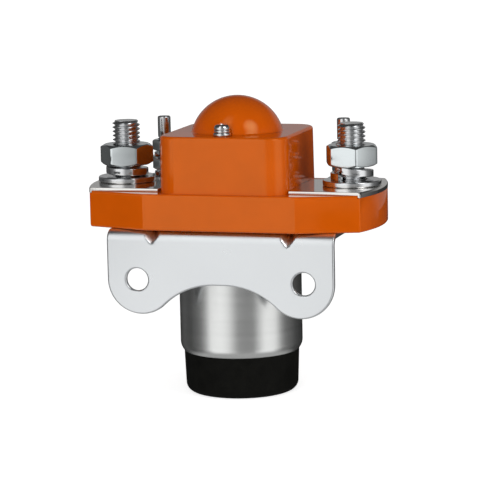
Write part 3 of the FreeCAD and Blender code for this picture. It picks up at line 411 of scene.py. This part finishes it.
def cutCross(shape, cross, top):
    # Presses a cross recess into the head's crown
    wide, long, deep = cross["wide"] / 2, cross["long"] / 2, cross["deep"]
    for normal in ((1, 0, 0), (0, 1, 0)):
        for reach in (-long, -wide, wide, long):
            cutAt(shape, Vector(normal) * reach, normal)
    inside = []
    for face in shape.faces:
        middle = face.calc_center_median()
        x, y = abs(middle.x), abs(middle.y)
        onCrown = middle.z > top - deep and face.normal.z > crossForm["upward"]
        if onCrown and (x < wide and y < long or y < wide and x < long):
            inside.append(face)
    floor = onlyVerts(bmesh.ops.extrude_face_region(shape, geom=inside)["geom"])
    bmesh.ops.delete(shape, geom=inside, context="FACES")
    for vert in floor:
        vert.co.z -= deep * (1 - crossForm["slope"] * math.hypot(vert.co.x, vert.co.y) / long)
        vert.co.x *= crossForm["taper"]
        vert.co.y *= crossForm["taper"]


def joined(shapes):
    # One bmesh out of several
    whole = bmesh.new()
    for shape in shapes:
        mesh = bpy.data.meshes.new("part")
        shape.to_mesh(mesh)
        shape.free()
        whole.from_mesh(mesh)
        bpy.data.meshes.remove(mesh)
    return whole


def finishPiece(shape, name, slot, nodes, sharp=32, even=False):
    # Puts a finished shape in the scene, in metres, riding on the housing
    weld(shape, 1e-5)
    bmesh.ops.recalc_face_normals(shape, faces=shape.faces[:])
    bmesh.ops.scale(shape, verts=shape.verts[:], vec=(mm, mm, mm))
    mesh = bpy.data.meshes.new(name)
    shape.to_mesh(mesh)
    shape.free()
    mesh.shade_smooth()
    mesh.set_sharp_from_angle(angle=math.radians(sharp))
    mesh.materials.append(materials[slot])
    piece = bpy.data.objects.new(name, mesh)
    scene.collection.objects.link(piece)
    if even:
        weighted = piece.modifiers.new("evenNormals", "WEIGHTED_NORMAL")
        weighted.keep_sharp = True
    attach(piece, "housing")
    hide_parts(*nodes)


def middleOf(node):
    # A node's centre in plan, in millimetres
    low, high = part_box(node)
    middle = (low + high) / 2 / mm
    return middle.x, middle.y


def levels(node):
    # A node's lowest and highest level, in millimetres
    low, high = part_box(node)
    return low.z / mm, high.z / mm


def mergedCopy(node, flatWithin=0.6):
    # The CAD node's own form with its triangles joined into whole faces
    shape = bmesh.new()
    shape.from_mesh(frame["nodes"][node].data)
    bmesh.ops.scale(shape, verts=shape.verts[:], vec=(1 / mm, 1 / mm, 1 / mm))
    weld(shape)
    bmesh.ops.dissolve_limit(shape, angle_limit=math.radians(flatWithin), verts=shape.verts[:],
                             edges=shape.edges[:])
    return shape


# What several pieces share
sides = {"left": -1, "right": 1}
studOffset = middleOf("main_washer_right")[0]
bracketSheet = 2.0

# Main studs: M10 thread above the plate, a plain shoulder and hexagon head below, and a neck that
# runs from the shoulder into the thread
mainStud = {"radius": 5.0, "pitch": 1.5, "chamfer": 1.0, "chamferSlope": 0.85, "shoulder": 5.5,
            "shoulderEase": 0.3, "neck": 4.2, "neckBelow": 1.2, "neckAbove": 0.5,
            "head": {"flats": 15.0, "height": 6.3, "bore": 5.3, "mouth": 0.1, "ease": 0.15}}


def makeMainStuds():
    shoulder, neck = mainStud["shoulder"], mainStud["neck"]
    for hand, side in sides.items():
        node = "main_stud_" + hand
        bottom, top = levels(node)
        plate = levels("terminal_plate_" + hand)[1]
        step, end = plate - mainStud["neckBelow"], plate + mainStud["neckAbove"]
        thread = threadedShape({**mainStud, "bottom": plate, "top": top})
        shank = turnedShape([(0, bottom), (shoulder, bottom), (shoulder, step, mainStud["shoulderEase"]),
                             (neck, step), (neck, end), (0, end)])
        head = nutShape(mainStud["head"])
        shift(head, z=bottom)
        shape = joined([thread, shank, head])
        shift(shape, x=side * studOffset)
        finishPiece(shape, "mainStud." + hand, "stud_steel", [node])


# Coil studs: threaded where the nuts sit, with a plain bright end that starts inside the thread
coilStud = {"radius": 2.5, "pitch": 0.8, "chamfer": 0.6, "chamferSlope": 1.0, "threadAbove": 1.2,
            "plain": 2.4, "plainAbove": 0.9, "plainEase": 0.2, "endEase": 0.55, "shoulder": 3.0,
            "shoulderFrom": 3.4,
            "head": {"flats": 8.0, "height": 3.5, "bore": 2.8, "mouth": 0.1, "ease": 0.1}}


def makeCoilStuds():
    plain, shoulder = coilStud["plain"], coilStud["shoulder"]
    seat = levels("coil_seat_washers")[0]
    nutTop = levels("coil_nuts_upper")[1]
    for hand in sides:
        node = "coil_stud_" + hand
        x, y = middleOf(node)
        bottom, top = levels(node)
        step, end = nutTop + coilStud["plainAbove"], bottom + coilStud["shoulderFrom"]
        thread = threadedShape({**coilStud, "bottom": seat, "top": nutTop + coilStud["threadAbove"]})
        tip = turnedShape([(0, step), (plain, step, coilStud["plainEase"]),
                           (plain, top, coilStud["endEase"]), (0, top)])
        shank = turnedShape([(0, end), (shoulder, end), (shoulder, seat), (0, seat)])
        head = nutShape(coilStud["head"])
        shift(head, z=bottom)
        shape = joined([thread, tip, shank, head])
        shift(shape, x=x, y=y)
        finishPiece(shape, "coilStud." + hand, "stud_steel", [node])


# Main nuts: bright hexagons, each turned as it was tightened
mainNut = {"flats": 17.0, "bore": 4.35, "mouth": 0.75, "ease": 0.22, "turn": {"left": 11.3, "right": 52.6}}
nutSharp = 25


def makeMainNuts():
    for hand, side in sides.items():
        node = "main_nut_" + hand
        bottom, top = levels(node)
        shape = nutShape({**mainNut, "height": top - bottom})
        turnBy(shape, mainNut["turn"][hand])
        shift(shape, x=side * studOffset, z=bottom)
        finishPiece(shape, "mainNut." + hand, "nut_steel", [node], sharp=nutSharp)


# Main washers: thick flat washers with stamped, eased rims
mainWasher = {"radius": 10.5, "bore": 5.3, "ease": 0.45, "boreEase": (0.2, 0.45), "steps": 96}


def makeMainWashers():
    for hand, side in sides.items():
        node = "main_washer_" + hand
        shape = washerShape(mainWasher, *levels(node), mainWasher["steps"])
        shift(shape, x=side * studOffset)
        finishPiece(shape, "mainWasher." + hand, "washer_steel", [node])


# Main spring washers: the right one is sprung open with its split to the front
springWasher = {"inner": 5.1, "section": 2.6, "ease": 0.32, "turn": 0.965}
springSet = {"left": {"split": 75.0, "sag": 1.0}, "right": {"split": 244.0, "sag": 2.4}}


def makeSpringWashers():
    for hand, side in sides.items():
        node = "main_spring_washer_" + hand
        bottom, top = levels(node)
        rise = top - bottom - springWasher["section"]
        shape = springWasherShape({**springWasher, **springSet[hand], "rise": rise})
        shift(shape, x=side * studOffset, z=bottom)
        finishPiece(shape, "springWasher." + hand, "washer_steel", [node])


# Coil terminal hardware, as pairs; the left one of each pair is turned further
coilWasher = {"radius": 5.0, "seatRadius": 6.0, "bore": 2.6, "ease": 0.25, "boreEase": (0, 0.25)}
coilNut = {"flats": 8.0, "bore": 2.15, "mouth": 0.4, "ease": 0.1}
coilSpring = {"inner": 2.6, "section": 1.3, "ease": 0.15, "turn": 0.965, "split": 200.0, "sag": 1.0}
coilTurn = 23


def coilPair(shape):
    # The same part on the left and right coil stud
    x, y = middleOf("coil_stud_right")
    other = shape.copy()
    turnBy(other, coilTurn)
    shift(shape, x=x, y=y)
    shift(other, x=-x, y=y)
    return joined([shape, other])


def makeCoilHardware():
    for node, name, radius in (("coil_seat_washers", "coilSeatWashers", coilWasher["seatRadius"]),
                               ("coil_washers", "coilWashers", coilWasher["radius"])):
        ring = washerShape({**coilWasher, "radius": radius}, *levels(node))
        finishPiece(coilPair(ring), name, "washer_steel", [node])
    for node, name in (("coil_nuts_lower", "coilNutsLower"), ("coil_nuts_upper", "coilNutsUpper")):
        bottom, top = levels(node)
        nut = nutShape({**coilNut, "height": top - bottom}, smallSteps["nut"])
        shift(nut, z=bottom)
        finishPiece(coilPair(nut), name, "nut_steel", [node], sharp=nutSharp)
    rings = []
    for under, over in (("coil_seat_washers", "coil_nuts_lower"), ("coil_washers", "coil_nuts_upper")):
        bottom, top = levels(under)[1], levels(over)[0]
        rise = top - bottom - coilSpring["section"]
        ring = springWasherShape({**coilSpring, "rise": rise}, smallSteps["turned"])
        shift(ring, z=bottom)
        rings.append(coilPair(ring))
    finishPiece(joined(rings), "coilSpringWashers", "washer_steel", ["coil_spring_washers"])


# Cover screws: pan heads with a cross recess, over a collar and a thick washer
coverScrew = {"shank": 1.45, "head": 2.9, "crown": 1.75, "collar": 1.05, "neck": 2.5, "turn": 28,
              "cross": {"wide": 0.85, "long": 3.3, "deep": 1.0}}
coverWasher = {"radius": 3.15, "bore": 1.6, "ease": 0.4, "boreEase": (0, 0)}

# A pan head's form: side and flat are where the crown starts to round, eases at the tip and under
# the head are in millimetres and the others are shares of the collar or crown
panHead = {"tipEase": 0.3, "underEase": 0.15, "collarEase": 0.4, "side": 0.62, "sideEase": 0.45,
           "flat": 0.7, "flatEase": 0.4}


def screwShape(screw, bottom, seat, top):
    # Shank, collar if there is one, and a pan head with rounded crown
    shank, head, crown = screw["shank"], screw["head"], screw["crown"]
    under = top - crown
    corners = [(0, bottom), (shank, bottom, panHead["tipEase"]), (shank, seat)]
    if "collar" in screw:
        ease, over = screw["collar"] * panHead["collarEase"], seat + screw["collar"]
        corners += [(head, seat, ease), (head, over, ease), (screw["neck"], over), (screw["neck"], under)]
    corners += [(head, under, panHead["underEase"]),
                (head, under + crown * panHead["side"], crown * panHead["sideEase"]),
                (head * panHead["flat"], top, crown * panHead["flatEase"]), (0, top)]
    shape = turnedShape(corners, smallSteps["turned"])
    bmesh.ops.recalc_face_normals(shape, faces=shape.faces[:])
    cutCross(shape, screw["cross"], top)
    return shape


def makeCoverScrews():
    bottom, top = levels("cover_screws")
    under, seat = levels("cover_screw_washers")
    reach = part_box("cover_screws")[1].y / mm - coverScrew["head"]
    screw = screwShape(coverScrew, bottom, seat, top)
    ring = washerShape(coverWasher, under, seat)
    for shape, name, slot, node in ((screw, "coverScrews", "screw_steel", "cover_screws"),
                                    (ring, "coverScrewWashers", "washer_steel", "cover_screw_washers")):
        turnBy(shape, coverScrew["turn"])
        other = shape.copy()
        shift(shape, y=-reach)
        shift(other, y=reach)
        finishPiece(joined([shape, other]), name, slot, [node])


# Screws under the flange and in the cap; each flange screw is turned further than the one before
flangeScrew = {"shank": 2.0, "head": 3.8, "crown": 2.0, "firstTurn": 17, "nextTurn": 31,
               "cross": {"wide": 1.1, "long": 4.2, "deep": 1.2}}
capScrew = {"shank": 2.0, "head": 3.75, "crown": 2.6, "cross": {"wide": 1.1, "long": 4.2, "deep": 1.3}}


def upsideDown(shape):
    bmesh.ops.scale(shape, verts=shape.verts[:], vec=(1, 1, -1))
    return shape


def makeUnderScrews():
    low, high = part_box("bracket_screws")
    seat = levels("bracket")[1] - bracketSheet
    inset = flangeScrew["head"]
    places = [(x, y) for x in (low.x / mm + inset, high.x / mm - inset)
              for y in (low.y / mm + inset, high.y / mm - inset)]
    screws = []
    for number, (x, y) in enumerate(places):
        screw = upsideDown(screwShape(flangeScrew, -high.z / mm, -seat, -low.z / mm))
        turnBy(screw, flangeScrew["firstTurn"] + flangeScrew["nextTurn"] * number)
        shift(screw, x=x, y=y)
        screws.append(screw)
    finishPiece(joined(screws), "bracketScrews", "screw_steel", ["bracket_screws"])
    bottom, top = levels("cap_screw")
    screw = upsideDown(screwShape(capScrew, -top, -(bottom + capScrew["crown"]), -bottom))
    finishPiece(screw, "capScrew", "screw_steel", ["cap_screw"])


# Moulded and drawn pieces keep their form and are shaded smooth
smoothNodes = {"base": ("mouldedBase", "orange_plastic"), "cover": ("domedCover", "orange_plastic"),
               "can": ("drawnCan", "can_steel"), "end_cap": ("endCap", "black_plastic")}
smoothSharp = 34


def makeSmoothPieces():
    for node, (name, slot) in smoothNodes.items():
        finishPiece(mergedCopy(node), name, slot, [node], sharp=smoothSharp, even=True)


# Sheet pieces keep their form and get rolled edges; the gussets are pressed in softly, by
# smoothing once within each reach of where they meet the bend
sheetEdges = {"bracket": {"width": 0.75, "sharperThan": 60, "segments": 4},
              "plate": {"width": 0.25, "sharperThan": 60, "segments": 3}}
sheetSharp = 40
gusset = {"x": 25.0, "step": 0.7, "below": 8.4, "clear": 9.5, "skin": 0.1, "smoothing": 0.5,
          "reach": (6.5, 5.5, 4.6, 3.8, 3.0, 2.2)}


def nearGusset(edge):
    low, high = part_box("bracket")
    middle = (edge.verts[0].co + edge.verts[1].co) / 2
    spots = [Vector((side * gusset["x"], low.y / mm, high.z / mm)) for side in sides.values()]
    return min((middle - place).length for place in spots) < gusset["clear"]


def softenGussets(shape):
    low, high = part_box("bracket")
    front, top = low.y / mm, high.z / mm
    step = gusset["step"]
    count = int(gusset["reach"][0] / step)
    for number in range(1, int(gusset["below"] / step)):
        cutAt(shape, (0, 0, top - number * step), (0, 0, 1))
    for side in sides.values():
        for number in range(-count, count + 1):
            cutAt(shape, (side * gusset["x"] + number * step, 0, 0), (1, 0, 0))
    inside = bracketSheet - gusset["skin"]
    for side in sides.values():
        for reach in gusset["reach"]:
            near = []
            for vert in shape.verts:
                away = Vector((vert.co.x - side * gusset["x"], vert.co.y - front, vert.co.z - top))
                if away.length < reach and not (away.y > inside and away.z < -inside):
                    near.append(vert)
            bmesh.ops.smooth_vert(shape, verts=near, factor=gusset["smoothing"], use_axis_x=True,
                                  use_axis_y=True, use_axis_z=True)


def makeSheetPieces():
    shape = mergedCopy("bracket")
    easeEdges(shape, **sheetEdges["bracket"], keep=nearGusset, clamp=False)
    softenGussets(shape)
    finishPiece(shape, "mountingBracket", "bracket_steel", ["bracket"], sharp=sheetSharp, even=True)
    for hand in sides:
        node = "terminal_plate_" + hand
        shape = mergedCopy(node)
        easeEdges(shape, **sheetEdges["plate"], clamp=False)
        finishPiece(shape, "terminalPlate." + hand, "tinned_copper", [node], sharp=sheetSharp, even=True)


makeMainStuds()
makeCoilStuds()
print("studs made")
makeMainNuts()
makeMainWashers()
makeSpringWashers()
makeCoilHardware()
print("nuts and washers made")
makeCoverScrews()
makeUnderScrews()
makeSheetPieces()
makeSmoothPieces()
print("screws, bracket and plates made")


# The CAD nodes that keep their own form take the finish of their slot
slots = {row["node"]: row["material_slot"] for row in frame["record"]["subparts"]}
for node, thing in frame["nodes"].items():
    thing.data.materials.clear()
    thing.data.materials.append(materials[slots[node]])


# Studio: pale floor, soft lamps, and a shell of light and dark that only gloss sees
floorTone = {"colour": 0.80, "near": 0.72, "far": 1.0, "fade": (0.3, 1.6),
             "reach": 14.0, "sides": 64, "level": -0.00005}
lamps = {
    "frontLamp": {"azimuth": 8, "elevation": 9, "distance": 1.1, "size": 0.9, "power": 9.2},
    "leftLamp": {"azimuth": -62, "elevation": 14, "distance": 1.1, "size": 0.7, "power": 1.0},
    "rightLamp": {"azimuth": 76, "elevation": 14, "distance": 1.1, "size": 0.7, "power": 4.0},
    "topLamp": {"azimuth": 20, "elevation": 75, "distance": 1.2, "size": 0.9, "power": 0.8},
}
lampAim = Vector((0, 0, 0.05))
surround = {"unseen": 0.27, "seen": 1.0}

# Light level of the shell by azimuth, from the front toward +X, in degrees: what upright faces
# reflect, what flat tops reflect, and what rounded edges and the dome reflect
lowBands = [(-180, 0.02), (-146, 0.03), (-118, 0.09), (-95, 0.06), (-66, 0.16), (-52, 0.45), (-44, 1.0),
            (-20, 1.0), (-8, 0.86), (2, 0.52), (10, 0.30), (40, 0.28), (52, 0.75), (60, 1.0), (82, 0.92),
            (96, 0.34), (106, 0.17), (140, 0.06), (180, 0.02)]
midBands = [(-180, 0.34), (-146, 0.30), (-120, 0.08), (-66, 0.16), (-52, 0.5), (-44, 1.0), (-8, 1.0),
            (2, 0.55), (10, 0.30), (40, 0.28), (52, 0.75), (60, 1.0), (82, 0.92), (96, 0.34), (106, 0.17),
            (140, 0.10), (152, 0.30), (180, 0.34)]
highBands = [(-180, 0.05), (-44, 0.05), (-32, 1.15), (-10, 1.15), (2, 0.2), (20, 0.08), (180, 0.05)]

# Elevations, in degrees, over which the shell passes from the ground's level to each of the bands
# and to the dark crown
shell = {"radius": 3.0, "sides": (64, 32), "ground": 0.40, "crown": 0.05, "lowRise": (-46, -30),
         "midRise": (-2, 3), "highRise": (18, 30), "crownRise": (54, 74)}

# One bright patch of the shell for the dome and the rounded edges, with its half angles in degrees
glint = {"azimuth": 59, "elevation": 41, "level": 3.4, "edge": 19, "core": 4}

# Low dark cards near the object: the upper pieces' corners reflect them, the can doesn't
flags = {
    "leftFlag": {"first": -64, "last": -28, "low": 0.014, "high": 0.052},
    "rightFlag": {"first": 22, "last": 58, "low": 0.008, "high": 0.031},
    "backFlag": {"first": 140, "last": 176, "low": 0.028, "high": 0.085},
}
flagFinish = {"radius": 0.30, "level": 0.03, "step": 2}


def newStage(name, shape):
    # A backdrop piece, with an empty material to fill
    mesh = bpy.data.meshes.new(name)
    shape.to_mesh(mesh)
    shape.free()
    thing = bpy.data.objects.new(name, mesh)
    scene.collection.objects.link(thing)
    material = bpy.data.materials.new(name)
    material.use_nodes = True
    material.node_tree.nodes.clear()
    mesh.materials.append(material)
    return thing, material.node_tree


def calculate(tree, operation, first, second=None):
    node = addNode(tree, "Math", {"operation": operation})
    for number, item in enumerate((first, second)):
        if item is None:
            continue
        if isinstance(item, (int, float)):
            node.inputs[number].default_value = item
        else:
            tree.links.new(item, node.inputs[number])
    return node.outputs[0]


def reflectedRays(tree):
    # 1 for rays that show the background: from the camera, in gloss or through a clear piece
    path = addNode(tree, "LightPath")
    shown = calculate(tree, "MAXIMUM", path.outputs["Is Camera Ray"], path.outputs["Is Glossy Ray"])
    return calculate(tree, "MAXIMUM", shown, path.outputs["Is Transmission Ray"])


def showSurface(tree, surface):
    output = addNode(tree, "OutputMaterial")
    tree.links.new(surface, output.inputs["Surface"])


def showInGlossOnly(thing):
    for rays in ("camera", "diffuse", "transmission", "volume_scatter", "shadow"):
        setattr(thing, "visible_" + rays, False)


def makeFloor():
    shape = bmesh.new()
    bmesh.ops.create_circle(shape, cap_ends=True, radius=floorTone["reach"], segments=floorTone["sides"])
    floor, tree = newStage("floor", shape)
    tone = floorTone["colour"]
    matt = addNode(tree, "BsdfDiffuse", Color=(tone, tone, tone, 1))
    place = addNode(tree, "TexCoord")
    length = addNode(tree, "VectorMath", {"operation": "LENGTH"})
    tree.links.new(place.outputs["Object"], length.inputs[0])
    lift = spread(tree, length.outputs["Value"], floorTone["near"], floorTone["far"], *floorTone["fade"])
    glow = addNode(tree, "Emission", Color=(1, 1, 1, 1))
    tree.links.new(calculate(tree, "MULTIPLY", lift, reflectedRays(tree)), glow.inputs["Strength"])
    both = addNode(tree, "AddShader")
    tree.links.new(matt.outputs[0], both.inputs[0])
    tree.links.new(glow.outputs[0], both.inputs[1])
    showSurface(tree, both.outputs[0])
    floor.location.z = floorTone["level"]
    floor.visible_glossy = False


def bandRamp(tree, source, bands):
    ramp = addNode(tree, "ValToRGB")
    tree.links.new(source, ramp.inputs["Fac"])
    stops = ramp.color_ramp.elements
    while len(stops) < len(bands):
        stops.new(0.5)
    for stop, (azimuth, level) in zip(stops, bands):
        stop.position = (azimuth + 180) / 360
        stop.color = (level, level, level, 1)
    return ramp.outputs["Color"]


def shellAngles(tree, place):
    # The share of a whole turn by azimuth, from the back round by the left, and the elevation
    axes = addNode(tree, "SeparateXYZ")
    tree.links.new(place, axes.inputs[0])
    x, y, z = axes.outputs
    turned = calculate(tree, "ARCTAN2", x, calculate(tree, "MULTIPLY", y, -1.0))
    share = calculate(tree, "ADD", calculate(tree, "MULTIPLY", turned, 0.5 / math.pi), 0.5)
    rise = calculate(tree, "ARCSINE", calculate(tree, "DIVIDE", z, shell["radius"]))
    return share, calculate(tree, "MULTIPLY", rise, 180 / math.pi)


def makeShell():
    shape = bmesh.new()
    columns, rows = shell["sides"]
    bmesh.ops.create_uvsphere(shape, u_segments=columns, v_segments=rows, radius=shell["radius"])
    dome, tree = newStage("reflectionShell", shape)
    place = addNode(tree, "TexCoord").outputs["Object"]
    share, elevation = shellAngles(tree, place)
    light = (shell["ground"],) * 3
    for bands, rise in ((lowBands, "lowRise"), (midBands, "midRise"), (highBands, "highRise")):
        light = blendColours(tree, spread(tree, elevation, 0, 1, *shell[rise]), light,
                             bandRamp(tree, share, bands))
    light = blendColours(tree, spread(tree, elevation, 0, 1, *shell["crownRise"]), light,
                         (shell["crown"],) * 3)
    facing = addNode(tree, "VectorMath", {"operation": "DOT_PRODUCT"})
    tree.links.new(place, facing.inputs[0])
    facing.inputs[1].default_value = around(glint["azimuth"], glint["elevation"], 1 / shell["radius"])
    edge, core = (math.cos(math.radians(glint[key])) for key in ("edge", "core"))
    light = blendColours(tree, spread(tree, facing.outputs["Value"], 0, 1, edge, core), light,
                         (glint["level"],) * 3)
    glow = addNode(tree, "Emission", Strength=1.0)
    tree.links.new(light, glow.inputs["Color"])
    showSurface(tree, glow.outputs[0])
    showInGlossOnly(dome)


def makeFlag(name, flag):
    shape = bmesh.new()
    for level in (flag["low"], flag["high"]):
        verts = [shape.verts.new(around(azimuth, 0, flagFinish["radius"]) + Vector((0, 0, level)))
                 for azimuth in range(flag["first"], flag["last"] + 1, flagFinish["step"])]
        for one, other in zip(verts, verts[1:]):
            shape.edges.new((one, other))
    bmesh.ops.bridge_loops(shape, edges=shape.edges[:])
    card, tree = newStage(name, shape)
    glow = addNode(tree, "Emission", Strength=flagFinish["level"])
    showSurface(tree, glow.outputs[0])
    showInGlossOnly(card)


def makeLamp(name, lamp):
    data = bpy.data.lights.new(name, "AREA")
    data.shape = "SQUARE"
    data.size = lamp["size"]
    data.energy = lamp["power"]
    thing = bpy.data.objects.new(name, data)
    scene.collection.objects.link(thing)
    away = around(lamp["azimuth"], lamp["elevation"], lamp["distance"])
    thing.location = away + lampAim
    thing.rotation_euler = away.to_track_quat("Z", "Y").to_euler()
    thing.visible_glossy = False


def makeSurround():
    world = bpy.data.worlds.new("surround")
    scene.world = world
    world.use_nodes = True
    tree = world.node_tree
    back = tree.nodes["Background"]
    back.inputs["Color"].default_value = (1, 1, 1, 1)
    level = addNode(tree, "MapRange", To_Min=surround["unseen"], To_Max=surround["seen"])
    tree.links.new(reflectedRays(tree), level.inputs["Value"])
    tree.links.new(level.outputs["Result"], back.inputs["Strength"])


makeFloor()
makeShell()
for name, flag in flags.items():
    makeFlag(name, flag)
for name, lamp in lamps.items():
    makeLamp(name, lamp)
makeSurround()
print("studio made")
